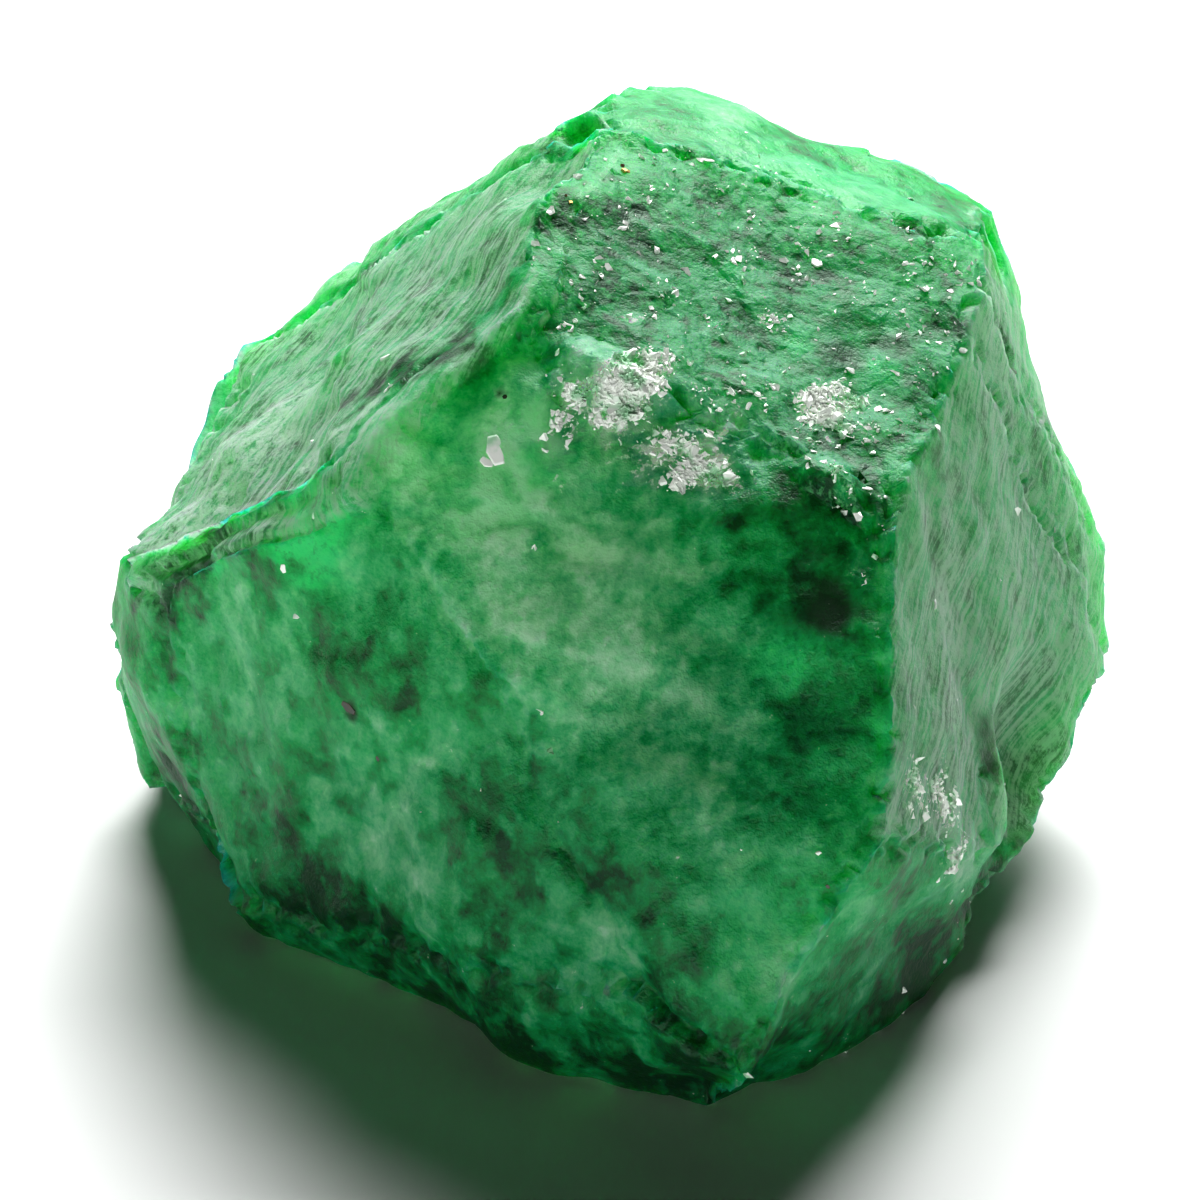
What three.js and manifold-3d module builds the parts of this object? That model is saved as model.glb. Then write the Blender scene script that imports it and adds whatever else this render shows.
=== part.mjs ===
// A raw emerald crystal: a short broken length of a six-sided beryl prism, lying on its side.
//
// Units are millimetres, +Z is up and the crystal rests on z = 0. The origin is the middle of the
// bottom of its bounding box. The stone grew as one piece, so the model is one solid.
//
// Every flat of the stone is a plane, given by where its outward normal points and how far the plane
// lies from the heart of the stone. An azimuth of 0 points to -Y, 90 to +X and 180 to +Y; a rise of
// 90 points straight up. The prism's own faces are sixty degrees apart about its axis. The rest is
// breaks across them, ledges where a growth layer ends short of an edge, chips, and one resting flat.

import * as THREE from 'three';
import * as BufferGeometryUtils from 'three/addons/utils/BufferGeometryUtils.js';
import Module from 'manifold-3d';

// ---------------------------------------------------------------- driving dimensions

const HEART_HEIGHT = 5.1;      // heart of the stone above the resting flat
const STOCK = 60;              // side of the block that each cut is made with

// The prism's axis runs from the front of the stone to the back and rises a little.
const PRISM_AXIS = { azimuth: 163, rise: 12 };
const PRISM_ROLL = 18;         // how far the top face leans from upright, about the axis
const PRISM_STEP = 60;         // the angle between neighbouring prism faces

// Prism faces: their place in steps from the top face towards the right, and their distance.
const PRISM_FACES = {
  top: { step: 0, distance: 6.5 },
  right: { step: 1, distance: 6.55 },
  lowerRight: { step: 2, distance: 7.5 },
  lowerLeft: { step: 4, distance: 9.8 },
  left: { step: 5, distance: 6.2 },
};

// Breaks across and along the prism.
const BREAKS = {
  frontUpper: { azimuth: -6, rise: 40, distance: 6.1 },
  front: { azimuth: -12, rise: 24, distance: 6.6 },
  frontLeft: { azimuth: -44, rise: 3, distance: 6.0 },
  frontUndercut: { azimuth: -37, rise: -26, distance: 7.2 },
  crest: { azimuth: 124, rise: 68, distance: 7.9 },
  leftEnd: { azimuth: -103, rise: 20, distance: 8.3 },
  leftMiddle: { azimuth: -74, rise: -2, distance: 7.7 },
  leftUndercut: { azimuth: -74, rise: -34, distance: 8.5 },
  rightRear: { azimuth: 89, rise: 20, distance: 7.65 },
  rightLow: { azimuth: 54, rise: -18, distance: 7.6 },
  rightUndercut: { azimuth: 50, rise: -42, distance: 8.3 },
  backLeft: { azimuth: -138, rise: 51, distance: 8.15 },
  backUpper: { azimuth: 172, rise: 34, distance: 9.6 },
  back: { azimuth: 178, rise: -9, distance: 7.0 },
  backRight: { azimuth: 145, rise: 2, distance: 8.2 },
  backUndercut: { azimuth: -160, rise: -44, distance: 8.4 },
};

// Ledges: along the edge between two faces, a growth layer of the first face is missing. "depth" is
// how thick the layer is, and "width" how far the ledge reaches in from the second face.
const LEDGES = [
  { layer: 'left', beside: 'frontUpper', depth: 0.3, width: 0.95 },
  { layer: 'left', beside: 'frontLeft', depth: 0.3, width: 0.7 },
  { layer: 'left', beside: 'backLeft', depth: 0.25, width: 0.5 },
  { layer: 'right', beside: 'rightRear', depth: 0.18, width: 0.4 },
  { layer: 'top', beside: 'left', depth: 0.14, width: 0.5 },
  { layer: 'lowerLeft', beside: 'back', depth: 0.5, width: 1.6 },
  { layer: 'back', beside: 'backRight', depth: 0.35, width: 1.1 },
];

// Chips: shell-like scoops where a corner or an edge has broken away. "toward" is the direction of
// the scoop's deepest point from the heart, as azimuth and rise, "reach" is how far from the heart
// that point lies, and "radius" is the radius of the ball that the scoop is cut with.
const CHIPS = {
  upperLeftNotch: { toward: [-165, 63], reach: 7.9, radius: 1.1 },
  upperRightNotch: { toward: [121, 32], reach: 8.5, radius: 1.2 },
  rightWaist: { toward: [102, -27], reach: 7.6, radius: 2.6 },
  rightHollow: { toward: [64, -10], reach: 6.85, radius: 1.4 },
  leftDent: { toward: [-103, -20], reach: 9.0, radius: 1.8 },
  frontCorner: { toward: [-2, 62], reach: 6.35, radius: 3.4 },
  frontRightCorner: { toward: [36, 46], reach: 6.9, radius: 2.4 },
  rearTopCorner: { toward: [175, 36], reach: 9.2, radius: 4.2 },
  rearLeftCorner: { toward: [-142, -8], reach: 8.6, radius: 3.2 },
  rearRightCorner: { toward: [122, -14], reach: 8.6, radius: 2.8 },
  rearMiddle: { toward: [172, 4], reach: 6.75, radius: 4.6 },
};

const CHIP_DETAIL = 2;         // how often the coarse ball of a chip is divided

const EMERALD = { color: 0x2c8f52, roughness: 0.35, metalness: 0.0 };

// ---------------------------------------------------------------- helpers

const wasm = await Module();
wasm.setup();

const UP = new THREE.Vector3(0, 0, 1);

// The unit vector with a given azimuth and rise.
function direction(azimuth, rise) {
  const a = THREE.MathUtils.degToRad(azimuth);
  const r = THREE.MathUtils.degToRad(rise);
  return new THREE.Vector3(Math.sin(a) * Math.cos(r), -Math.cos(a) * Math.cos(r), Math.sin(r));
}

// A closed three.js geometry as a solid, with its shared corners merged.
function solid(geometry) {
  const bare = geometry.clone();
  bare.deleteAttribute('normal');
  bare.deleteAttribute('uv');
  const merged = BufferGeometryUtils.mergeVertices(bare);
  const vertProperties = new Float32Array(merged.attributes.position.array);
  const triVerts = new Uint32Array(merged.index.array);
  return new wasm.Manifold(new wasm.Mesh({ numProp: 3, vertProperties, triVerts }));
}

// A frame at "origin" whose z axis points outward, with its y axis as near to upright as it can be.
function outwardFrame(outward, origin) {
  const x = new THREE.Vector3().crossVectors(UP, outward).normalize();
  const y = new THREE.Vector3().crossVectors(outward, x);
  return new THREE.Matrix4().makeBasis(x, y, outward).setPosition(origin);
}

// A box that stands on a plane and reaches outwards from it.
function outside({ normal, distance }) {
  const middle = normal.clone().multiplyScalar(distance + STOCK / 2);
  const box = new THREE.BoxGeometry(STOCK, STOCK, STOCK);
  return solid(box.applyMatrix4(outwardFrame(normal, middle)));
}

// ---------------------------------------------------------------- the crystal

const prismAxis = direction(PRISM_AXIS.azimuth, PRISM_AXIS.rise);
const prismUpright = UP.clone().addScaledVector(prismAxis, -UP.dot(prismAxis)).normalize();

// Every face of the stone by name, as the plane's outward normal and its distance from the heart.
function facePlanes() {
  const planes = {};
  for (const [name, { step, distance }] of Object.entries(PRISM_FACES)) {
    const turn = THREE.MathUtils.degToRad(PRISM_ROLL + PRISM_STEP * step);
    planes[name] = { normal: prismUpright.clone().applyAxisAngle(prismAxis, turn), distance };
  }
  for (const [name, { azimuth, rise, distance }] of Object.entries(BREAKS)) {
    planes[name] = { normal: direction(azimuth, rise), distance };
  }
  return planes;
}

// A block cut down to the prism and its breaks, and cut level below to rest on.
function cleavedStone(planes) {
  let stone = solid(new THREE.BoxGeometry(STOCK / 2, STOCK / 2, STOCK / 2));
  for (const plane of Object.values(planes)) stone = stone.subtract(outside(plane));
  const underside = new THREE.BoxGeometry(STOCK, STOCK, STOCK);
  return stone.subtract(solid(underside.translate(0, 0, -HEART_HEIGHT - STOCK / 2)));
}

// What is missing at a ledge: all that lies beyond both planes once they are moved inwards.
function ledgeGap(planes, { layer, beside, depth, width }) {
  const layerPlane = planes[layer];
  const besidePlane = planes[beside];
  const floor = outside({ normal: layerPlane.normal, distance: layerPlane.distance - depth });
  return floor.intersect(outside({ normal: besidePlane.normal, distance: besidePlane.distance - width }));
}

// The scoop of a chip: a coarse ball, so that the break has a few curved facets.
function chipScoop({ toward, reach, radius }) {
  const middle = direction(...toward).multiplyScalar(reach + radius);
  const ball = new THREE.IcosahedronGeometry(radius, CHIP_DETAIL);
  return solid(ball.translate(middle.x, middle.y, middle.z));
}

function crystalSolid() {
  const planes = facePlanes();
  let stone = cleavedStone(planes);
  for (const ledge of LEDGES) stone = stone.subtract(ledgeGap(planes, ledge));
  for (const chip of Object.values(CHIPS)) stone = stone.subtract(chipScoop(chip));
  return stone;
}

// The solid as a three.js geometry, with the origin moved to the middle of the bottom of its box.
function placedGeometry(stone) {
  const { numProp, vertProperties, triVerts } = stone.getMesh();
  const geometry = new THREE.BufferGeometry();
  geometry.setAttribute('position', new THREE.BufferAttribute(vertProperties, numProp));
  geometry.setIndex(new THREE.BufferAttribute(triVerts, 1));
  geometry.computeBoundingBox();
  const { min, max } = geometry.boundingBox;
  geometry.translate(-(min.x + max.x) / 2, -(min.y + max.y) / 2, -min.z);
  geometry.computeVertexNormals();
  return geometry;
}

const crystal = new THREE.Mesh(placedGeometry(crystalSolid()), new THREE.MeshStandardMaterial(EMERALD));
crystal.name = 'emerald_crystal';

const group = new THREE.Group();
group.add(crystal);

export default group;
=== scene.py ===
# A raw emerald crystal on a pale studio floor.
#
# Everything is in metres in the model's own frame: +Z up, the stone rests on z = 0, and its large
# front break faces -Y. Sizes below are in millimetres and are scaled by MM. A direction is given as
# its azimuth and its rise in degrees, seen from the heart of the stone; azimuth 0 is -Y, 90 is +X.

import math

import bmesh
import bpy
import numpy as np
from mathutils import Matrix, Vector, noise


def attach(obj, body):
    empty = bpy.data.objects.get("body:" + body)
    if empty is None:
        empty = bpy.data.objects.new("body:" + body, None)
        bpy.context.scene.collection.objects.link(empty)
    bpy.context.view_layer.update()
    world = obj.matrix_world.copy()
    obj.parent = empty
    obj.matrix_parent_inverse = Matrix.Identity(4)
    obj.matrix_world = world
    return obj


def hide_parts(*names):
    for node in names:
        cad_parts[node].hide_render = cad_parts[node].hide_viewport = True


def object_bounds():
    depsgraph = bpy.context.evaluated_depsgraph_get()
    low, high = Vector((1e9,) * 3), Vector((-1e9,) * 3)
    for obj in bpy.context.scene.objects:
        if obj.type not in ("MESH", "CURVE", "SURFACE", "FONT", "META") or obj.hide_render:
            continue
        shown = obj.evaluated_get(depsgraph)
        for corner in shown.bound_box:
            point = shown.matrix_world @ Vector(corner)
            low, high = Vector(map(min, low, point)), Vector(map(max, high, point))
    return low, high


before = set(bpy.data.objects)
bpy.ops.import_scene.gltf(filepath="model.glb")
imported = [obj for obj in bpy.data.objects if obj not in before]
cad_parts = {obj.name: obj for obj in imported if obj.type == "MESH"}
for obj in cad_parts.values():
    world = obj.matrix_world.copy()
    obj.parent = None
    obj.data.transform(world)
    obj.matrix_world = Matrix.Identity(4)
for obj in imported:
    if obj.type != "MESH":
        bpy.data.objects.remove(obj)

MM = 0.001
CAD_LOW, CAD_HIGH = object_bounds()

WANDER_SEED = 20
noise.seed_set(WANDER_SEED)     # noise_vector starts from the clock unless it is seeded

# ------------------------------------------------------------------ the stone's own planes

# The heart of the stone, from the middle of its underside, in mm.
HEART_OFFSET = Vector((0.16, 0.67, 5.1))
PRISM_AXIS = (163, 12)
PRISM_ROLL = 18
PRISM_STEP = 60
PRISM_FACES = {"top": 0, "right": 1, "lower_right": 2, "lower_left": 4, "left": 5}
BREAKS = {
    "front_upper": (-6, 40),
    "front": (-12, 24),
    "front_left": (-44, 3),
    "front_undercut": (-37, -26),
    "crest": (124, 68),
    "left_end": (-103, 20),
    "left_middle": (-74, -2),
    "left_undercut": (-74, -34),
    "right_rear": (89, 20),
    "right_low": (54, -18),
    "right_undercut": (50, -42),
    "back_left": (-138, 51),
    "back_upper": (172, 34),
    "back": (178, -9),
    "back_right": (145, 2),
    "back_undercut": (-160, -44),
    "base": (0, -90),
}


def toward(azimuth, rise):
    """The unit vector with an azimuth and a rise."""
    a, r = math.radians(azimuth), math.radians(rise)
    return Vector((math.sin(a) * math.cos(r), -math.cos(a) * math.cos(r), math.sin(r)))


def prism_normals(axis):
    """The outward normal of each prism face, sixty degrees apart about the axis."""
    up = Vector((0, 0, 1))
    upright = (up - axis * up.dot(axis)).normalized()
    turned = {}
    for name, step in PRISM_FACES.items():
        turn = math.radians(PRISM_ROLL + PRISM_STEP * step)
        turned[name] = Matrix.Rotation(turn, 3, axis) @ upright
    return turned


AXIS = toward(*PRISM_AXIS)
NORMALS = prism_normals(AXIS)
NORMALS.update({name: toward(*way) for name, way in BREAKS.items()})
FACE_NAMES = list(NORMALS)
MIDDLE = (CAD_LOW + CAD_HIGH) / (2 * MM)
HEART = Vector((MIDDLE.x, MIDDLE.y, 0)) + HEART_OFFSET


def face_distances(node):
    """How far each named plane lies from the heart, measured on a node's mesh, in mm."""
    corners = [v.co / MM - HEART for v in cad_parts[node].data.vertices]
    return np.array([max(c.dot(NORMALS[name]) for c in corners) for name in FACE_NAMES])


NORMAL_ROWS = np.array([NORMALS[name] for name in FACE_NAMES])
DISTANCES = face_distances("emerald_crystal")


GRAZING = 0.05      # a plane that faces a direction less than this is never met on the way out


def on_surface(azimuth, rise):
    """The point where a direction from the heart leaves the stone, in mm from the heart."""
    way = toward(azimuth, rise)
    facing = NORMAL_ROWS @ np.array(way)
    return way * min(d / f for d, f in zip(DISTANCES, facing) if f > GRAZING)


# ------------------------------------------------------------------ small helpers


def smooth(low, high, value):
    """Zero below low, one above high, and an even rise between them. Takes numbers or arrays."""
    t = np.clip((value - low) / (high - low), 0.0, 1.0)
    return t * t * (3 - 2 * t)


def ripple(x, y, z, seed):
    """Soft noise from -1 to 1 at a place."""
    return noise.noise(Vector((x + seed, y - 0.7 * seed, z + 1.3 * seed)))


def ripples(places, scale, seed):
    """Soft noise at many places, one lump every 1/scale millimetres."""
    return np.array([ripple(x, y, z, seed) for x, y, z in places * scale])


def link(piece):
    """Puts a new object in the scene."""
    bpy.context.scene.collection.objects.link(piece)
    return piece


# ------------------------------------------------------------------ the stone's shape

REMESH_DEPTH = 8           # divisions of the remesh grid, as a power of two
REMESH_FILL = 0.62         # share of that grid that the stone fills: sets the size of its faces
WELD = 0.002               # corners of the solid nearer than this are one, mm
MEND_ROUNDS = 3


def mend_pinches(bm):
    """Opens the few places where the remesh makes a sheet touch itself, and closes them again."""
    for _ in range(MEND_ROUNDS):
        pinched = [e for e in bm.edges if not e.is_manifold]
        if not pinched:
            return
        corners = {v for e in pinched for v in e.verts}
        faces = list({f for v in corners for f in v.link_faces})
        bmesh.ops.delete(bm, geom=faces, context="FACES")
        loose = [v for v in bm.verts if not v.link_faces]
        bmesh.ops.delete(bm, geom=loose, context="VERTS")
        rims = [e for e in bm.edges if e.is_boundary]
        bmesh.ops.holes_fill(bm, edges=rims, sides=0)
    bmesh.ops.recalc_face_normals(bm, faces=bm.faces)


def finely_divided(node, name):
    """A copy of a node as small even faces that keep its sharp edges."""
    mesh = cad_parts[node].data.copy()
    bm = bmesh.new()
    bm.from_mesh(mesh)
    bmesh.ops.remove_doubles(bm, verts=bm.verts, dist=WELD * MM)
    bm.to_mesh(mesh)
    bm.free()
    piece = link(bpy.data.objects.new(name, mesh))
    remesh = piece.modifiers.new("even faces", "REMESH")
    remesh.mode = "SHARP"
    remesh.octree_depth = REMESH_DEPTH
    remesh.scale = REMESH_FILL
    remesh.sharpness = 1.0
    shown = piece.evaluated_get(bpy.context.evaluated_depsgraph_get())
    divided = bpy.data.meshes.new_from_object(shown)
    piece.modifiers.clear()
    piece.data = divided
    bm = bmesh.new()
    bm.from_mesh(divided)
    mend_pinches(bm)
    bm.to_mesh(divided)
    bm.free()
    divided.materials.clear()
    return piece


# How each face grew or broke. Grown faces carry growth lines, and "stray" is how far in degrees the
# lines lean from the prism's axis. Sugary faces are broken into grains. The rest are clean breaks.
GROWN = {"left": 1.3, "right": 0.45, "lower_left": 0.9, "lower_right": 0.9, "left_end": 1.0,
         "right_rear": 0.5}
FROSTED = {"lower_left": 0.4, "lower_right": 0.3}
STRAY = {"left": -22, "right": 14, "left_end": -22}
SUGARY = {"top": 1.0, "back_upper": 0.6, "right_undercut": 0.4}
FRONT = ("front_upper", "front", "front_left")
LOWER_FRONT = ("front_left", "front", "front_undercut", "left_undercut", "right_undercut", "base")
LEFT_END = ("front_left", "left_middle", "left_undercut", "left_end")
WORN_FOLDS = ((FRONT, 0.55), (("top", "front_upper"), 0.5), (LOWER_FRONT, 0.3), (LEFT_END, 0.4))
STILL = ("base",)
# Swells and dents too slight to be planes of their own: azimuth, rise, radius and height in mm.
SWELLS = ((166, 49, 2.8, 0.30), (140, 40, 2.6, 0.22), (-156, 71, 1.6, -0.32),
          (-174, 64, 1.2, -0.12), (-98, -4, 2.6, 0.36), (-85, -28, 2.0, -0.42),
          (78, -15, 2.0, -0.85), (68, -26, 1.8, -0.35), (-110, 38, 1.4, 0.1), (14, -32, 2.2, -0.55),
          (-14, -33, 2.2, 0.25), (-104, 16, 1.8, 0.22))
SHEETED = ("left", "left_end", "back_left")
SHEET_ENDS = (-4.5, -6.7)       # where a sheet of the left side ends, across the stone from the heart
SHEET_STEP = 0.15               # how far down the next sheet lies, mm
FOOT_HEIGHT = 0.45              # the worn rim at the floor, mm
FOOT_PASSES = 6
BEVEL = 0.3                     # how near an edge wear starts to lean across it, mm
CHIP_DEPTH = 0.24               # how deep the chips along an edge go, mm
CHIP_WIDTH = 0.30               # how far in from an edge they reach, mm
FACE_MATCH = (0.90, 0.99)       # how squarely a point has to face a plane's way to belong to it
FACE_REACH = 0.9                # and how near that plane it has to be, mm

GROWTH_STEPS = ((1.3, 0.075), (0.5, 0.04), (0.19, 0.018))   # pitch and depth of each size of line
WANDERS = ((0.4, 0.26), (1.1, 0.10), (2.6, 0.03))           # waves per mm and reach of slow bends


def growth_lines(along, across, seed):
    """Height of the stepped growth lines on a prism face."""
    height = 0.0
    for pitch, depth in GROWTH_STEPS:
        lane = across / pitch + 0.5 * ripple(along * 0.22, across * 0.35, pitch, seed)
        number = math.floor(lane)
        here = ripple(number * 7.31, along * 0.3 / pitch, 0, seed)
        beyond = ripple(number * 7.31 + 7.31, along * 0.3 / pitch, 0, seed)
        rise = min(max((lane - number - 0.72) / 0.28, 0.0), 1.0)
        height += depth * (here + (beyond - here) * rise)
    return height


def broken_grains(place, size, seed):
    """Height of a surface broken into small tilted flats, in units of the grain's size."""
    scaled = Vector(place) / size + Vector((seed, seed, seed))
    centre = noise.voronoi(scaled)[1][0]
    tilt = noise.cell_vector(centre * 3.7) - Vector((0.5, 0.5, 0.5))
    return (scaled - centre).dot(tilt) + 0.5 * (noise.cell(centre * 5.1) - 0.5)


def face_frame(name):
    """The directions along and across the growth lines on a face."""
    normal = NORMALS[name]
    along = AXIS - normal * AXIS.dot(normal)
    along.normalize()
    along = Matrix.Rotation(math.radians(STRAY.get(name, 0)), 3, normal) @ along
    return along, normal.cross(along)


def face_relief(name, place, seed):
    """Height in mm of one face's own break or growth at a place on it."""
    if name in STILL:
        return 0.0
    x, y, z = place
    height = 0.06 * ripple(x * 0.5, y * 0.5, z * 0.5, seed)
    if name in GROWN:
        along, across = face_frame(name)
        spot = Vector(place)
        height += GROWN[name] * growth_lines(spot.dot(along), spot.dot(across), seed)
    elif name in SUGARY:
        height += 0.03 * SUGARY[name] * broken_grains(place, 0.9, seed)
        height += 0.026 * SUGARY[name] * broken_grains(place, 0.32, seed)
    else:
        height += 0.05 * ripple(x * 1.3, y * 1.3, z * 1.3, seed)
        height += 0.03 * broken_grains(place, 0.5, seed)
    return height


def rounding(gaps, own, group, softness):
    """How far the edges between the faces of a group are worn back, in mm."""
    columns = [FACE_NAMES.index(name) for name in group]
    reach = np.exp(-np.maximum(gaps[:, columns], 0) / softness)
    return softness * np.log1p(np.maximum(reach.sum(1) - 1, 0)) * np.isin(own, columns)


def outward_of(pull):
    """Unit vectors along an array of vectors."""
    return pull / np.linalg.norm(pull, axis=1, keepdims=True)


def edge_gaps(gaps, own):
    """How far each point is from the nearest plane of another face, with the front taken as one."""
    front = [FACE_NAMES.index(name) for name in FRONT]
    others = gaps.copy()
    others[np.arange(len(own)), own] = np.inf
    for row in np.nonzero(np.isin(own, front))[0]:
        others[row, front] = np.inf
    return others.min(1)


def sculpt_stone(piece):
    """Gives each face of the stone its own break or growth, and records the finishes."""
    mesh = piece.data
    count = len(mesh.vertices)
    flat = np.empty(count * 3, np.float32)
    mesh.vertices.foreach_get("co", flat)
    places = flat.reshape(-1, 3).astype(float) / MM - np.array(HEART)
    mesh.vertices.foreach_get("normal", flat)
    outward = flat.reshape(-1, 3).astype(float)

    gaps = DISTANCES - places @ NORMAL_ROWS.T
    match = smooth(*FACE_MATCH, outward @ NORMAL_ROWS.T) * (gaps < FACE_REACH)
    shares = match / np.maximum(match.sum(1, keepdims=True), 1.0)
    own = np.where(shares.max(1) > 0, shares.argmax(1), gaps.argmin(1))
    edge = edge_gaps(gaps, own)

    lift = np.zeros((count, 3))
    for column, name in enumerate(FACE_NAMES):
        for row in np.nonzero(shares[:, column] > 0)[0]:
            height = face_relief(name, places[row], 3.1 * column)
            lift[row] += NORMAL_ROWS[column] * (height * shares[row, column])

    lumps = ripples(places, 0.9, 11)
    flakes = ripples(places, 2.6, 17) + 0.8 * ripples(places, 5.2, 19)
    worn = 1 - smooth(0.0, 1.0, edge / (CHIP_WIDTH + 0.2 * lumps))
    back = CHIP_DEPTH * (worn * smooth(-0.3, 1.0, flakes))
    back += sum(rounding(gaps, own, group, softness) for group, softness in WORN_FOLDS)
    sheeted = shares[:, [FACE_NAMES.index(name) for name in SHEETED]].sum(1)
    for end in SHEET_ENDS:
        ragged = places[:, 0] + 0.5 * lumps + 0.12 * flakes
        back += SHEET_STEP * sheeted * smooth(0.0, 0.3, end - ragged)
    pull = np.exp(-np.maximum(gaps - gaps.min(1, keepdims=True), 0) / BEVEL) @ NORMAL_ROWS
    lift -= outward_of(pull) * back[:, None]

    for azimuth, rise, radius, height in SWELLS:
        span = np.linalg.norm(places - np.array(on_surface(azimuth, rise)), axis=1)
        lift += outward_of(pull) * (height * (1 - smooth(0.1 * radius, radius, span)))[:, None]

    depth = gaps.min(1)
    filling = ripples(places, 0.75, 23) + 0.5 * ripples(places, 2.2, 29)
    crumbled = smooth(-0.9, -0.45, filling + smooth(1.0, -2.0, places[:, 0]))
    lift += outward_of(pull) * (depth * crumbled * smooth(0.42, 0.3, depth))[:, None]

    for scale, reach in WANDERS:
        wander = np.array([noise.noise_vector(Vector(place)) for place in places * scale])
        lift += reach * wander
    height = places[:, 2] + HEART_OFFSET.z
    base = shares[:, FACE_NAMES.index("base")]
    rising = np.maximum(lift[:, 2], 0) * smooth(0.3, 0.0, edge)
    lift[:, 2] = np.where(base > 0, rising, lift[:, 2] * smooth(0.0, 0.4, height))

    moved = (places + lift + np.array(HEART)) * MM
    moved[:, 2] = np.maximum(moved[:, 2], 0)
    mesh.vertices.foreach_set("co", moved.astype(np.float32).ravel())

    record_finishes(mesh, places, gaps, shares, own)
    mesh.update()


# ------------------------------------------------------------------ where each finish, and each painted light and shade, shows

# Patches on and just under the surface, some of them painted light or shade: azimuth, rise, radius in
# mm and strength.
# Milky veils in the stone; the patches on the crest and the upper front also paint the glow of light
# passing through the stone.
MILKY_AND_GLOW = ((-21, 53, 1.2, 1.1), (-42, 43, 1.1, 1.3), (-30, 46, 1.6, 1.2), (-4, 31, 2.3, 1.15),
         (-26, 44, 3.2, 0.8), (-20, 36, 1.4, 0.9), (-12, 47, 1.4, 0.9), (139, 55, 1.6, 0.7),
         (130, 48, 1.4, 0.6), (165, 50, 1.5, 0.5), (-36, -14, 1.8, 0.55), (-69, 6, 1.5, 0.45),
         (5, 6, 1.2, 0.45), (17, -12, 1.4, 0.5), (-41, 3, 0.6, 0.6), (-17, 20, 0.5, 0.8),
         (28, -7, 0.9, 0.5), (7, 37, 1.0, 0.6), (-5, -13, 0.9, 0.5), (46, -10, 1.2, 0.4))
# Dark patches: most are clear deep green in the stone, but those with a negative rise, low on the
# front, are painted shade under the undercut.
DEEP_AND_SHADED = ((-22, -10, 1.3, 0.45), (-61, 58, 0.7, 1.1), (-70, 54, 0.65, 1.1), (-82, 45, 0.4, 0.9),
        (66, -8, 0.5, 0.7), (35, 33, 1.7, 0.35), (29, 14, 1.5, 0.3), (-37, 17, 0.9, 0.4),
        (-13, 11, 1.0, 0.3), (-4, -3, 1.0, 0.35), (-57, -32, 1.6, 0.25), (-84, 8, 0.8, 1.0),
        (-80, 14, 0.5, 0.9), (-62, 36, 0.9, 0.6), (139, 86, 1.1, 0.6), (-112, 82, 0.8, 0.8),
        (78, 55, 0.9, 0.4), (59, 39, 0.8, 0.7), (-33, -34, 2.4, 0.25), (8, -23, 1.2, 0.4),
        (46, -34, 1.0, 0.4))
# Painted glow: light shining through the thin stone, painted into the colour as GLOW_GREEN.
GLOW = ((-30, 46, 1.2, 0.3), (-41, 45, 0.9, 0.2), (-60, 29, 1.1, 1.2), (-76, 15, 0.4, 1.0),
        (24, 22, 0.7, 0.7), (31, 13, 0.6, 0.6), (18, -8, 1.8, 0.3), (30, 12, 2.0, 0.25),
        (139, 55, 1.6, 0.5), (130, 48, 1.4, 0.4), (98, 75, 0.6, 0.6), (71, 50, 0.45, 0.7),
        (69, 62, 0.4, 0.6), (-20, 53, 0.8, 0.6), (115, 25, 1.5, 0.5), (113, -2, 1.3, 0.5))
SPOTS = ((31, 27, 0.48), (-48, 5, 0.16), (-34, 59, 0.06), (-11, 61, 0.07))
SOOTY = ((72, 55, 0.5, 0.9), (88, 45, 0.4, 1.0), (80, 50, 0.4, 0.8), (65, -6, 0.6, 0.9))
CLEAR = ((-61, 58, 0.75, 1.0), (-70, 54, 0.7, 1.0), (-82, 45, 0.45, 0.9), (-64, 65, 0.6, 0.8),
         (98, 75, 0.8, 0.9), (71, 50, 0.5, 0.9), (69, 62, 0.45, 0.9), (82, 55, 0.9, 0.9),
         (127, 87, 0.8, 0.6), (-90, 82, 0.7, 0.7), (52, 40, 0.6, 0.9), (64, -6, 0.6, 0.8))
# Grainy patches carry the white grains, whose whiteness is partly a painted glint of the back light.
GRAINY = ((-2, 63, 0.95, 1.4), (6, 68, 0.6, 1.2), (8, 55, 0.8, 0.9), (18, 50, 0.8, 1.1),
          (55, 51, 0.8, 1.35), (41, 42, 0.5, 0.7), (-16, 55, 0.5, 0.6), (75, 66, 0.25, 0.9),
          (12, 79, 0.25, 0.9), (100, 70, 0.6, 0.4), (36, 3, 0.8, 0.8), (43, -3, 0.8, 0.85),
          (47, -10, 0.6, 0.8), (68, -12, 0.4, 0.9), (40, 60, 1.6, 0.3), (160, 78, 1.5, 0.3),
          (-8, 52, 1.2, 0.3), (37, 30, 0.4, 0.4), (36, 23, 0.3, 0.35), (36, 14, 0.5, 0.4),
          (139, 60, 2.2, 0.35), (115, 76, 1.2, 0.35), (28, 60, 1.0, 0.45))
# Pale bruised rock; the strips along the left ledge paint the sheen of the pale surround on it.
PALE_AND_SHEEN = ((-85, 24, 0.4, 0.9), (-78, 36, 0.4, 0.9), (-69, 43, 0.35, 0.8), (-63, 48, 0.35, 0.6),
        (111, 17, 0.7, 0.8), (108, -3, 0.6, 0.6), (57, 19, 0.9, 0.5), (52, 8, 0.8, 0.4),
        (-99, 13, 1.8, 0.9), (-108, 22, 1.6, 0.9), (119, 32, 0.4, 1.0))


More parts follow.
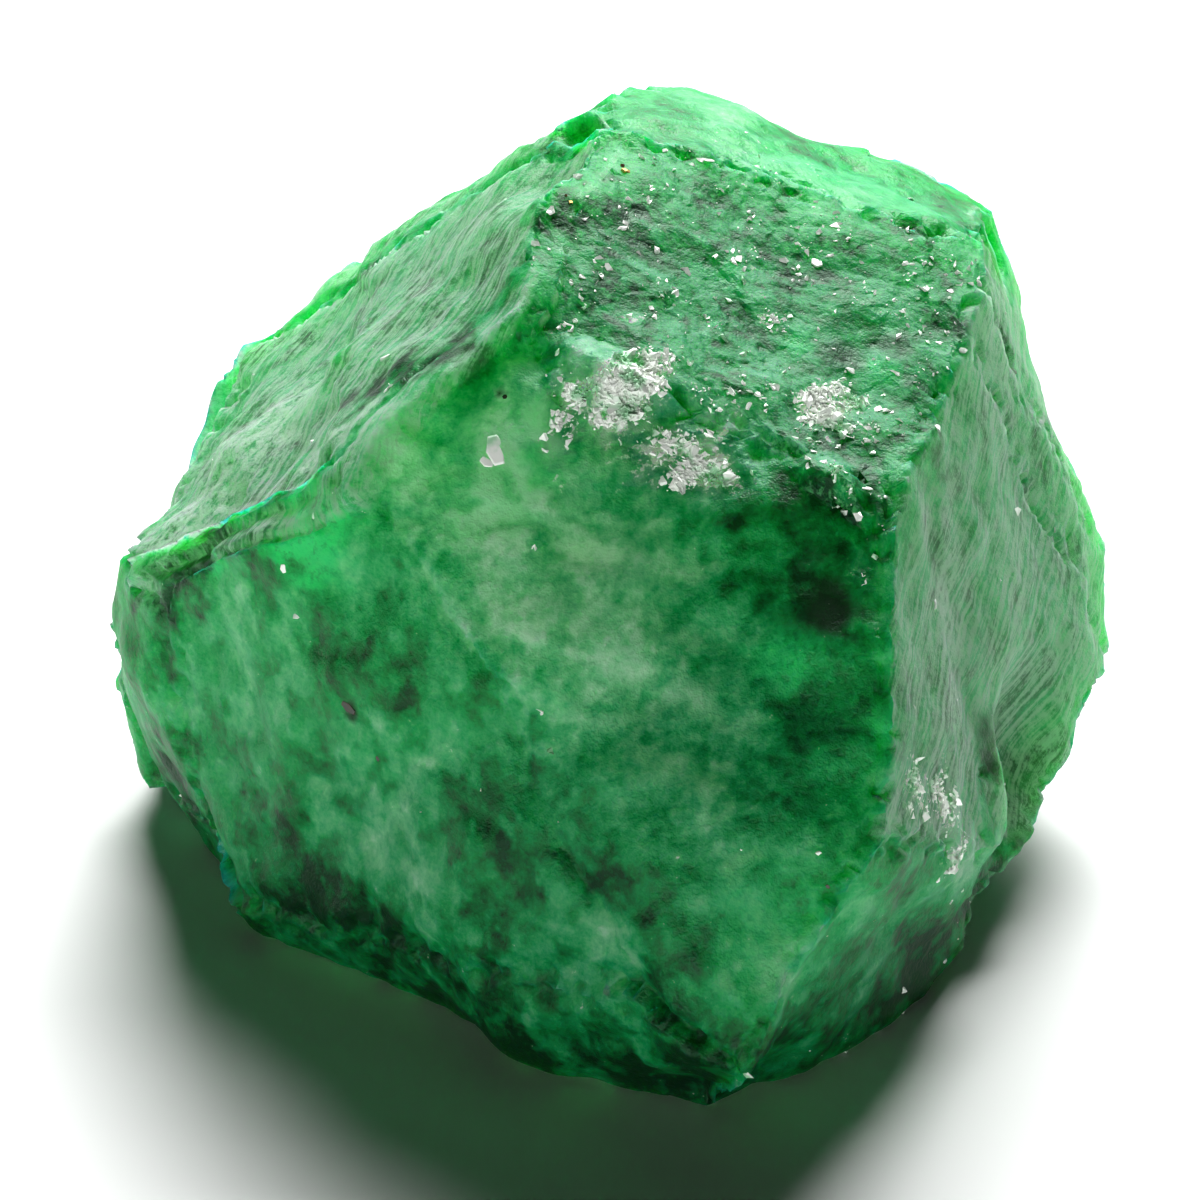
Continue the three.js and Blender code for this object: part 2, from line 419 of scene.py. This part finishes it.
def patched(places, wander, patches):
    """How strongly each point lies in a set of patches with ragged edges."""
    total = np.zeros(len(places))
    for azimuth, rise, radius, strength in patches:
        centre = np.array(on_surface(azimuth, rise))
        span = np.linalg.norm(places + wander * min(radius, 1.0) * 0.9 - centre, axis=1) / radius
        total = np.maximum(total, strength * (1 - smooth(0.25, 1.25, span)))
    return total


def fractal(places, scale, octaves, seed):
    """Cloudy noise about zero at many places."""
    shift = np.array((seed, 2.3 * seed, -1.7 * seed))
    return np.array([noise.fractal(Vector(p), 0.6, 2.1, octaves) for p in places * scale + shift])


def cell_values(places, size, seed):
    """An even value from 0 to 1 in each of many small ragged cells."""
    shift = Vector((seed, -seed, 1.9 * seed))
    return np.array([noise.cell(noise.voronoi(Vector(p) + shift)[1][0] * 5.3) for p in places / size])


def record_finishes(mesh, places, gaps, shares, own):
    """Keeps each finish, with the painted glow, sheen and shade, as an attribute of the mesh, for the
    material to read.
    """
    wander = np.array([0.6 * noise.noise_vector(Vector(p)) + 0.5 * noise.noise_vector(Vector(p) * 2.8)
                       for p in places * 1.3])
    finishes = {name: patched(places, wander, patches) for name, patches in (
        ("glow", GLOW), ("sooty", SOOTY), ("grainy", GRAINY), ("pale", PALE_AND_SHEEN))}
    deep_and_shaded, clear = (patched(places, wander, patches) for patches in (DEEP_AND_SHADED, CLEAR))
    frost = sum(shares[:, FACE_NAMES.index(name)] * FROSTED.get(name, 1.0) for name in GROWN)
    finishes["frost"] = frost * (1 - np.minimum(1.1 * np.maximum(deep_and_shaded, clear), 1.0))
    sugar = sum(shares[:, FACE_NAMES.index(name)] * SUGARY[name] for name in SUGARY)
    finishes["sugar"] = sugar * (1 - 0.8 * clear)
    finishes["grainy"] *= 1 - 0.8 * clear
    finishes["spots"] = np.zeros(len(places))
    for azimuth, rise, radius in SPOTS:
        centre = np.array(on_surface(azimuth, rise))
        span = np.linalg.norm(places + 0.1 * radius * wander - centre, axis=1)
        spot = 1 - smooth(0.6 * radius, 1.15 * radius + 0.04, span)
        finishes["spots"] = np.maximum(finishes["spots"], spot)
    # Painted shade: the tone darkens towards the floor, where the undercut faces away from the light.
    low = 1 - smooth(0.0, 4.2, places[:, 2] + HEART_OFFSET.z + 0.8 * wander[:, 2])
    cloud = fractal(places, 0.42, 4, 3)
    blotch = fractal(places, 1.3, 3, 7)
    flaw = smooth(-0.05, 0.08, fractal(places, 0.8, 3, 13)) - 0.5
    cells = cell_values(places + 0.2 * wander, 0.4, 5) - 0.5
    bits = cell_values(places, 0.16, 9) - 0.5
    # The tone mixes the stone's own colour with painted light and shade: darker near the floor and in
    # the dark patches low on the front, lighter in the milky patches on the crest.
    finishes["tone"] = (0.53 + 0.12 * cloud + 0.12 * blotch + 0.09 * flaw + 0.07 * cells
                        + (0.03 + 0.12 * bits) * np.maximum(finishes["sugar"], finishes["grainy"])
                        + 0.28 * patched(places, wander, MILKY_AND_GLOW) + 0.2 * finishes["grainy"] ** 1.5
                        - 0.2 * deep_and_shaded - 0.05 * clear - 0.16 * low + 0.02 * finishes["sugar"])
    for label, values in finishes.items():
        layer = mesh.attributes.new(label, "FLOAT", "POINT")
        layer.data.foreach_set("value", np.ascontiguousarray(values, np.float32))
    left = FACE_NAMES.index("left")
    own = np.where(gaps[:, left] < 0.6, left, own)
    frames = np.array([[list(way) for way in face_frame(name)] for name in FACE_NAMES])
    along = (places * frames[own, 0]).sum(1)
    across = (places * frames[own, 1]).sum(1)
    layer = mesh.attributes.new("grain", "FLOAT_VECTOR", "POINT")
    grain = np.stack([along, across, own * 3.0], 1)
    layer.data.foreach_set("vector", grain.astype(np.float32).ravel())


# ------------------------------------------------------------------ materials


class Nodes:
    """A short way to add and join nodes in one tree."""

    def __init__(self, tree):
        self.tree = tree

    def add(self, kind, inputs=(), **settings):
        node = self.tree.nodes.new("ShaderNode" + kind)
        for name, value in settings.items():
            setattr(node, name, value)
        for name, value in dict(inputs).items():
            socket = node.inputs[name]
            if isinstance(value, bpy.types.NodeSocket):
                self.tree.links.new(value, socket)
            else:
                socket.default_value = value
        return node

    def attribute(self, name, output="Fac"):
        return self.add("Attribute", attribute_name=name).outputs[output]

    def noise(self, vector, scale, detail=3.0, roughness=0.5):
        inputs = {"Vector": vector, "Scale": scale, "Detail": detail, "Roughness": roughness}
        return self.add("TexNoise", inputs).outputs["Fac"]

    def band(self, value, low, high, bottom=0.0, top=1.0):
        inputs = {"Value": value, "From Min": low, "From Max": high, "To Min": bottom, "To Max": top}
        return self.add("MapRange", inputs, interpolation_type="SMOOTHSTEP").outputs["Result"]

    def maths(self, operation, first, second=0.0):
        return self.add("Math", {0: first, 1: second}, operation=operation).outputs[0]

    def plus(self, *values):
        total = values[0]
        for value in values[1:]:
            total = self.maths("ADD", total, value)
        return total

    def times(self, first, second):
        return self.maths("MULTIPLY", first, second)

    def blend(self, factor, first, second):
        node = self.add("Mix", {0: factor, 6: first, 7: second}, data_type="RGBA")
        return node.outputs[2]


def new_material(name):
    """An empty material, its nodes and its output."""
    material = bpy.data.materials.new(name)
    material.use_nodes = True
    n = Nodes(material.node_tree)
    n.tree.nodes.clear()
    return material, n, n.add("OutputMaterial")


NIGHT_GREEN = (0.001, 0.03, 0.009, 1)
DEEP_GREEN = (0.001, 0.18, 0.04, 1)
MID_GREEN = (0.004, 0.38, 0.10, 1)
SOFT_GREEN = (0.05, 0.50, 0.18, 1)
MILKY_GREEN = (0.22, 0.68, 0.34, 1)
PALE_GREEN = (0.62, 0.90, 0.68, 1)
GLOW_GREEN = (0.02, 0.80, 0.22, 1)
FROST_GREY = (0.36, 0.58, 0.41, 1)
PALE_GREY = (0.56, 0.76, 0.61, 1)
SUGAR_GREEN = (0.20, 0.72, 0.32, 1)
SOOT_GREY = (0.012, 0.03, 0.016, 1)
# White grains, their whiteness partly a painted glint of the back light.
WHITE_GRAIN_AND_GLINT = (0.92, 0.97, 0.90, 1)
PALE_GRAIN = (0.32, 0.66, 0.38, 1)
MICA_BLACK = (0.006, 0.014, 0.007, 1)
MICA_BROWN = (0.045, 0.04, 0.018, 1)
BRASS = (0.85, 0.66, 0.26, 1)
TARNISH = (0.60, 0.38, 0.12, 1)
TINT = (0.4, 1.0, 0.55, 1)
SCATTER = (0.1, 1.0, 0.13)          # how far each colour of light spreads under the surface
ABSORBED = (0.12, 0.80, 0.39, 1)
TONES = ((0.26, NIGHT_GREEN), (0.38, DEEP_GREEN), (0.50, MID_GREEN), (0.60, SOFT_GREEN),
         (0.74, MILKY_GREEN), (0.92, PALE_GREEN))


def emerald_material():
    """The see-through green of the stone, with every finish that its attributes carry, painted glow,
    sheen and shade among them.
    """
    material, n, output = new_material("emerald")
    place = n.add("TexCoord").outputs["Object"]
    frost, sugar = n.attribute("frost"), n.attribute("sugar")
    grain = n.attribute("grain", "Vector")
    drawn_out = n.add("VectorMath", {0: grain, 1: (0.4, 8.0, 1.0)}, operation="MULTIPLY")
    lines = n.noise(drawn_out.outputs[0], 1.0, 3.0, 0.7)
    fine = n.noise(place, 4200.0, 3.0, 0.8)
    tone = n.plus(n.attribute("tone"), n.times(fine, 0.5), -0.25)
    ramp = n.add("ValToRGB", {"Fac": tone})
    elements = ramp.color_ramp.elements
    elements[0].position, elements[0].color = TONES[0]
    elements[1].position, elements[1].color = TONES[-1]
    for position, colour in TONES[1:-1]:
        elements.new(position).color = colour
    colour = ramp.outputs["Color"]
    # Painted glow of light through the stone.
    glow = n.times(n.attribute("glow"), n.band(fine, 0.3, 0.55, 0.4, 1.0))
    colour = n.blend(glow, colour, GLOW_GREEN)
    streaks = n.plus(n.times(lines, 0.6), n.times(fine, 0.4))
    silk = n.times(frost, n.band(streaks, 0.42, 0.58, 0.12, 0.95))
    colour = n.blend(silk, colour, FROST_GREY)
    # Pale bruised rock, partly a painted sheen along the left ledge.
    pale = n.times(n.attribute("pale"), n.band(fine, 0.32, 0.62))
    colour = n.blend(pale, colour, PALE_GREY)
    sooty = n.times(n.attribute("sooty"), n.band(fine, 0.3, 0.5, 0.6, 1.0))
    soot = n.maths("MAXIMUM", n.attribute("spots"), sooty)
    colour = n.blend(soot, colour, SOOT_GREY)
    grainy = n.attribute("grainy")
    specks = n.plus(fine, n.times(grainy, 0.1), n.times(sugar, 0.06))
    speckle = n.times(n.band(specks, 0.56, 0.70, 0.0, 0.55), n.maths("MAXIMUM", grainy, sugar))
    colour = n.blend(speckle, colour, SUGAR_GREEN)
    # White crust of grains, partly a painted glint.
    crust_and_glint = n.band(n.plus(fine, n.times(grainy, 0.24)), 0.70, 0.80)
    colour = n.blend(crust_and_glint, colour, WHITE_GRAIN_AND_GLINT)
    roughness = n.plus(n.band(fine, 0.35, 0.65, 0.42, 0.58), n.times(frost, 0.1),
                       n.times(sugar, 0.1))
    bump = n.add("Bump", {"Height": fine, "Strength": 0.7, "Distance": 0.06 * MM})
    shader = n.add("BsdfPrincipled", {
        "Base Color": colour, "Roughness": roughness, "Normal": bump.outputs["Normal"],
        "Metallic": 0.0, "Transmission Weight": 0.5, "IOR": 1.58, "Specular IOR Level": 0.05,
        "Specular Tint": TINT,
        "Subsurface Weight": 0.7, "Subsurface Radius": SCATTER, "Subsurface Scale": 7 * MM})
    absorb = n.add("VolumeAbsorption", {"Color": ABSORBED, "Density": 380.0})
    n.tree.links.new(shader.outputs[0], output.inputs["Surface"])
    n.tree.links.new(absorb.outputs[0], output.inputs["Volume"])
    return material


def mottle_group():
    """Two colours and two roughnesses mixed by cloudy noise: the finish of the small crystals."""
    group = bpy.data.node_groups.new("mottle", "ShaderNodeTree")
    sockets = (("Scale", "Float", "INPUT"), ("Low", "Float", "INPUT"), ("High", "Float", "INPUT"),
               ("First Color", "Color", "INPUT"), ("Second Color", "Color", "INPUT"),
               ("First Roughness", "Float", "INPUT"), ("Second Roughness", "Float", "INPUT"),
               ("Color", "Color", "OUTPUT"), ("Roughness", "Float", "OUTPUT"))
    for name, kind, side in sockets:
        group.interface.new_socket(name=name, in_out=side, socket_type="NodeSocket" + kind)
    given = group.nodes.new("NodeGroupInput").outputs
    result = group.nodes.new("NodeGroupOutput").inputs
    n = Nodes(group)
    mottle = n.noise(n.add("TexCoord").outputs["Object"], given["Scale"])
    share = n.band(mottle, given["Low"], given["High"])
    group.links.new(n.blend(share, given["First Color"], given["Second Color"]), result["Color"])
    roughness = n.band(share, 0.0, 1.0, given["First Roughness"], given["Second Roughness"])
    group.links.new(roughness, result["Roughness"])
    return group


def mottled_material(name, group, scale, low, high, colours, roughnesses, metallic, ior):
    """An opaque material for small crystals, mixed from two colours and two roughnesses."""
    material, n, output = new_material(name)
    mottle = n.add("Group", {
        "Scale": scale, "Low": low, "High": high, "First Color": colours[0], "Second Color": colours[1],
        "First Roughness": roughnesses[0], "Second Roughness": roughnesses[1]}, node_tree=group)
    shader = n.add("BsdfPrincipled", {
        "Base Color": mottle.outputs["Color"], "Roughness": mottle.outputs["Roughness"],
        "Metallic": metallic, "IOR": ior})
    n.tree.links.new(shader.outputs[0], output.inputs["Surface"])
    return material


def floor_material():
    material, n, output = new_material("pale floor")
    shader = n.add("BsdfPrincipled", {"Base Color": (0.90, 0.91, 0.90, 1), "Roughness": 0.8})
    n.tree.links.new(shader.outputs[0], output.inputs["Surface"])
    return material


# ------------------------------------------------------------------ the pieces

SHARP_ABOVE = 0.3       # how sugary the stone has to be for its small flats to stay sharp
FLAKE_SUNK = 0.12       # how far a flake is sunk, as a share of its size
FLAKE_ASIDE = 0.07      # how far flakes stray from the points of the stone, mm
FLAKE_JOLT = 0.14       # how far a flake's corners are moved about, as a share of its size


def finish_of(mesh, label):
    """One recorded finish of the stone, as an array over its points."""
    values = np.empty(len(mesh.vertices), np.float32)
    mesh.attributes[label].data.foreach_get("value", values)
    return values


def roughen_shading(mesh):
    """Leaves the small flats of the sugary parts sharp."""
    rough = finish_of(mesh, "sugar") + finish_of(mesh, "grainy") > SHARP_ABOVE
    for face in mesh.polygons:
        if rough[face.vertices[0]]:
            face.use_smooth = False


def flake_template(flatness):
    """One small angular flake, about one unit across."""
    bm = bmesh.new()
    bmesh.ops.create_icosphere(bm, subdivisions=1, radius=0.5)
    bmesh.ops.scale(bm, vec=(1, 1, flatness), verts=bm.verts)
    mesh = bpy.data.meshes.new("flake")
    bm.to_mesh(mesh)
    bm.free()
    return mesh


def scatter_flakes(name, stone, chance, material, sizes, count, flatness, seed):
    """Small flakes half sunk in the stone, thickest where the chance is highest."""
    draw = np.random.default_rng(seed)
    chance = np.maximum(chance, 0)
    picks = draw.choice(len(chance), count, p=chance / chance.sum())
    template = flake_template(flatness)
    corners = len(template.vertices)
    bm = bmesh.new()
    for pick in picks:
        vertex = stone.data.vertices[pick]
        bm.from_mesh(template)
        bm.verts.ensure_lookup_table()
        across = sizes[0] + (sizes[1] - sizes[0]) * draw.random() ** 3
        lean = (vertex.normal + 0.8 * Vector(draw.normal(size=3))).normalized()
        turn = lean.to_track_quat("Z", "X").to_matrix()
        turn = turn @ Matrix.Rotation(draw.random() * math.tau, 3, "Z")
        stretch = Matrix.Diagonal(Vector(0.6 + 0.8 * draw.random(3)))
        shape = turn @ stretch * (across * MM)
        aside = Vector(draw.normal(scale=FLAKE_ASIDE, size=3))
        inward = aside.dot(vertex.normal) + FLAKE_SUNK * across
        centre = vertex.co + (aside - vertex.normal * inward) * MM
        shake = draw.normal(scale=FLAKE_JOLT, size=(corners, 3))
        for corner, jolt in zip(bm.verts[-corners:], shake):
            corner.co = centre + shape @ (corner.co + Vector(jolt))
            corner.co.z = max(corner.co.z, 0.0)
    finished_piece(bm, name, material)


def make_grains(stone, material):
    """White grains in loose clumps, and larger pale chips where they are thickest."""
    grainy, sugar = (finish_of(stone.data, label) for label in ("grainy", "sugar"))
    places = np.array([v.co / MM for v in stone.data.vertices])
    clumps = smooth(-0.2, 0.3, ripples(places, 1.6, 31) + 0.8 * ripples(places, 4.0, 37))
    chance = (5 * np.maximum(grainy - 0.2, 0) ** 3 + 0.08 * sugar) * (0.04 + clumps) + 0.0003
    chance += 2 * np.maximum(grainy - 0.9, 0)
    scatter_flakes("white_grains", stone, chance, material,
                   sizes=(0.03, 0.18), count=5200, flatness=0.4, seed=4)
    chips = np.maximum(grainy - 0.5, 0) ** 3 * (0.1 + clumps)
    scatter_flakes("pale_chips", stone, chips, material,
                   sizes=(0.08, 0.30), count=340, flatness=0.3, seed=9)


OUTSIDE = 30        # further from the heart than any part of the stone, mm


def surface_point(stone, azimuth, rise):
    """Where a direction from the heart leaves the finished stone, and the way it faces there."""
    way = toward(azimuth, rise)
    _, point, normal, _ = stone.ray_cast((HEART + way * OUTSIDE) * MM, -way)
    return point, normal


def settled(stone, azimuth, rise, turn, sunk):
    """The placing of a crystal lying flat on the stone and sunk into it by some millimetres."""
    point, normal = surface_point(stone, azimuth, rise)
    upright = normal.to_track_quat("Z", "X").to_matrix().to_4x4()
    spin = Matrix.Rotation(math.radians(turn), 4, "Z")
    return Matrix.Translation(point - normal * (sunk * MM)) @ upright @ spin


def finished_piece(bm, name, material):
    """Turns a built shape into a piece that rides with the stone."""
    bmesh.ops.recalc_face_normals(bm, faces=bm.faces)
    mesh = bpy.data.meshes.new(name)
    bm.to_mesh(mesh)
    bm.free()
    piece = link(bpy.data.objects.new(name, mesh))
    mesh.materials.append(material)
    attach(piece, "root")


PLATE_TAPER = 0.85      # how wide the top of a plate is beside its foot
# Six-sided plates: azimuth, rise, turn, radius in mm and stretch.
MICA = ((-34, 59, 10, 0.05, 1.0), (-11, 61, 40, 0.06, 1.0), (-48, 5, 75, 0.09, 2.2),
        (-42, -2, 20, 0.04, 1.5), (96, 47, 15, 0.07, 1.6), (150, 20, 30, 0.08, 1.3),
        (-150, 30, 60, 0.07, 1.2), (172, -5, 5, 0.09, 1.5), (22, -3, 50, 0.035, 1.4),
        (-140, 5, 80, 0.06, 1.0))
# Brassy cubes: azimuth, rise, turn and size in mm.
PYRITE = ((178, 76, 20, 0.10), (179, 75, 55, 0.07), (176, 76, 70, 0.06), (-128, 82, 10, 0.06),
          (-131, 81, 48, 0.045))
# Bright cleavage plates, white to paint the flash of light off cracks inside the stone, given like the
# mica.
FLASH = ((-30, 51, 25, 0.17, 1.8), (-31, 49, 70, 0.10, 1.4), (-62, 22, 15, 0.07, 1.3),
         (44, 39, 30, 0.09, 1.5), (104, 62, 60, 0.10, 1.6), (128, 44, 10, 0.08, 1.5),
         (150, 68, 35, 0.09, 1.4))


def cut_edges(bm, made, width, segments):
    """Bevels every edge of a newly made crystal by some millimetres."""
    edges = list({e for v in made["verts"] for e in v.link_edges})
    bmesh.ops.bevel(bm, geom=edges, offset=width * MM, segments=segments, affect="EDGES")


def make_plates(name, stone, plates, thickness, sunk, tilt, material):
    """Thin six-sided plates with cut corners, lying on the stone."""
    bm = bmesh.new()
    tilted = Matrix.Rotation(math.radians(tilt), 4, "X")
    for azimuth, rise, turn, radius, stretch in plates:
        place = settled(stone, azimuth, rise, turn, sunk * radius) @ tilted
        shape = place @ Matrix.Diagonal((stretch, 1, 1, 1))
        made = bmesh.ops.create_cone(bm, cap_ends=True, segments=6, radius1=radius * MM,
                                     radius2=radius * PLATE_TAPER * MM,
                                     depth=radius * thickness * MM, matrix=shape)
        cut_edges(bm, made, radius * 0.06, 1)
    finished_piece(bm, name, material)


def make_pyrite(stone, material):
    """Small intergrown cubes with cut edges, half sunk in the stone."""
    bm = bmesh.new()
    for azimuth, rise, turn, size in PYRITE:
        rolled = Matrix.Rotation(math.radians(turn), 4, "X")
        place = settled(stone, azimuth, rise, turn, 0.15 * size) @ rolled
        made = bmesh.ops.create_cube(bm, size=size * MM, matrix=place)
        cut_edges(bm, made, size * 0.08, 2)
    finished_piece(bm, "pyrite_grains", material)


def soften_foot(mesh):
    """Wears the thin rim where the stone meets the floor."""
    bm = bmesh.new()
    bm.from_mesh(mesh)
    foot = [v for v in bm.verts if v.co.z < FOOT_HEIGHT * MM]
    for _ in range(FOOT_PASSES):
        bmesh.ops.smooth_vert(bm, verts=foot, factor=0.5,
                              use_axis_x=True, use_axis_y=True, use_axis_z=True)
    bm.to_mesh(mesh)
    bm.free()


def make_stone():
    """The stone itself, in place of the plain solid."""
    piece = finely_divided("emerald_crystal", "emerald_stone")
    sculpt_stone(piece)
    soften_foot(piece.data)
    piece.data.shade_smooth()
    roughen_shading(piece.data)
    piece.data.materials.append(emerald_material())
    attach(piece, "root")
    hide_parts("emerald_crystal")
    return piece


# ------------------------------------------------------------------ the studio

AIM = HEART + Vector((-0.34, -1.61, 1.24))    # what the camera looks at, mm
CAMERA_RISE = 28
CAMERA_REACH = 100                            # mm
CAMERA_LENS = 180
CAMERA_SENSOR = 36
CAMERA_CLIP = (0.005, 2.0)                    # m
FLOOR_HALF = 0.6                              # m
# Soft lights: azimuth, rise, reach, width and height in mm, and power in watts.
LIGHTS = {"back key": (173, 44, 300, 215, 150, 2.6), "front fill": (-20, 1.0, 260, 260, 12, 0.33)}
WORLD_STRENGTH = 0.001


def make_floor():
    """A wide pale floor at z = 0."""
    bm = bmesh.new()
    bmesh.ops.create_grid(bm, x_segments=1, y_segments=1, size=FLOOR_HALF)
    mesh = bpy.data.meshes.new("floor")
    bm.to_mesh(mesh)
    bm.free()
    floor = link(bpy.data.objects.new("studio_floor", mesh))
    mesh.materials.append(floor_material())


def face_along(thing, way):
    """Points a camera or a light along a direction."""
    thing.rotation_mode = "QUATERNION"
    thing.rotation_quaternion = way.to_track_quat("-Z", "Y")


def make_camera():
    """A long lens that looks down at the stone from in front."""
    data = bpy.data.cameras.new("camera")
    data.lens = CAMERA_LENS
    data.sensor_width = CAMERA_SENSOR
    data.clip_start, data.clip_end = CAMERA_CLIP
    camera = link(bpy.data.objects.new("camera", data))
    back = toward(0, CAMERA_RISE)
    camera.location = (AIM + back * CAMERA_REACH) * MM
    face_along(camera, -back)
    bpy.context.scene.camera = camera


def soft_light(name, azimuth, rise, reach, width, height, power):
    """A rectangular soft light, a number of millimetres from the stone and turned towards it."""
    data = bpy.data.lights.new(name, "AREA")
    data.shape = "RECTANGLE"
    data.size = width * MM
    data.size_y = height * MM
    data.energy = power
    light = link(bpy.data.objects.new(name, data))
    way = toward(azimuth, rise)
    light.location = (HEART + way * reach) * MM
    face_along(light, -way)


def make_lights():
    """The soft lights and a world that is almost dark."""
    for name, setting in LIGHTS.items():
        soft_light(name, *setting)
    world = bpy.data.worlds.new("studio")
    world.use_nodes = True
    background = world.node_tree.nodes["Background"].inputs
    background["Color"].default_value = (1, 1, 1, 1)
    background["Strength"].default_value = WORLD_STRENGTH
    bpy.context.scene.world = world
    bpy.context.scene.view_settings.view_transform = "Standard"


mottle = mottle_group()
# White grains, partly painted glint; the same material paints the flash plates.
white_grain_and_glint = mottled_material("white grain", mottle, 1800.0, 0.36, 0.50,
                               (PALE_GRAIN, WHITE_GRAIN_AND_GLINT), (0.5, 0.3), metallic=0.0, ior=1.55)
dark_mica = mottled_material("dark mica", mottle, 9000.0, 0.35, 0.65,
                             (MICA_BLACK, MICA_BROWN), (0.3, 0.5), metallic=0.0, ior=1.6)
pyrite = mottled_material("pyrite", mottle, 12000.0, 0.35, 0.7,
                          (BRASS, TARNISH), (0.25, 0.45), metallic=1.0, ior=1.5)
stone = make_stone()
make_grains(stone, white_grain_and_glint)
make_plates("mica_flakes", stone, MICA, thickness=0.35, sunk=0.05, tilt=6,
            material=dark_mica)
# Painted highlight: white plates stand in for the flash of light off cracks inside the stone.
make_plates("bright_plates", stone, FLASH, thickness=0.2, sunk=0.0, tilt=14,
            material=white_grain_and_glint)
make_pyrite(stone, pyrite)
make_floor()
make_camera()
make_lights()
